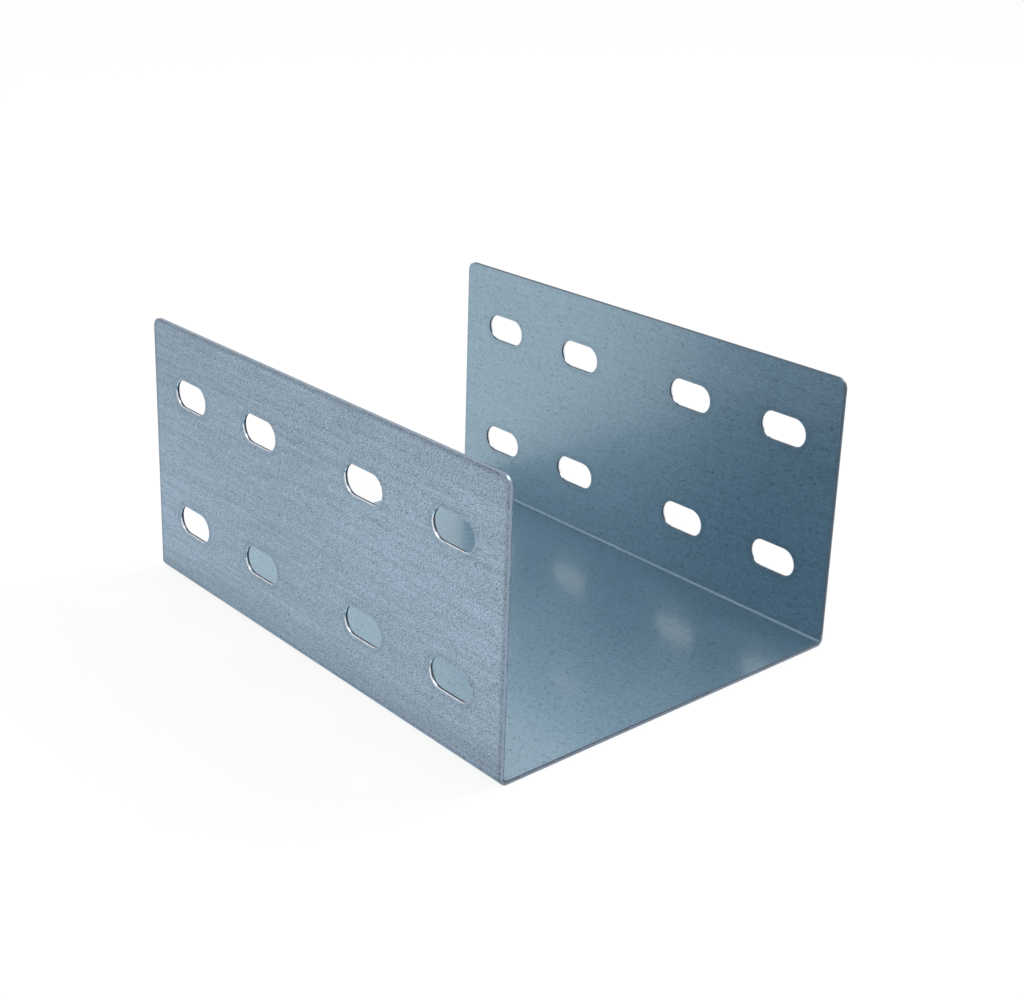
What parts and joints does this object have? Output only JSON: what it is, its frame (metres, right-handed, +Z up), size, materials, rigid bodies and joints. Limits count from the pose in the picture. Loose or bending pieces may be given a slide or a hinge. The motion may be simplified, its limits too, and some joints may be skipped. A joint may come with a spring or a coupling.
{
  "type": "u bracket",
  "caption": "Folded sheet-steel U bracket: flat base and two upright walls slotted for bolts, clasps and joins tray, duct or rail from both sides.",
  "frame": {"origin": "middle of the base's underside", "axes": "+X along the trough, +Z up from the base, the walls stand on the +Y and -Y sides"},
  "size_m": [0.133, 0.101, 0.0665],
  "materials": {
    "galvanised_steel": "plain zinc-coated sheet, finely mottled blue grey with a soft satin sheen"
  },
  "bodies": {
    "root": {"u_bracket": "galvanised_steel"}
  },
  "joints": []
}
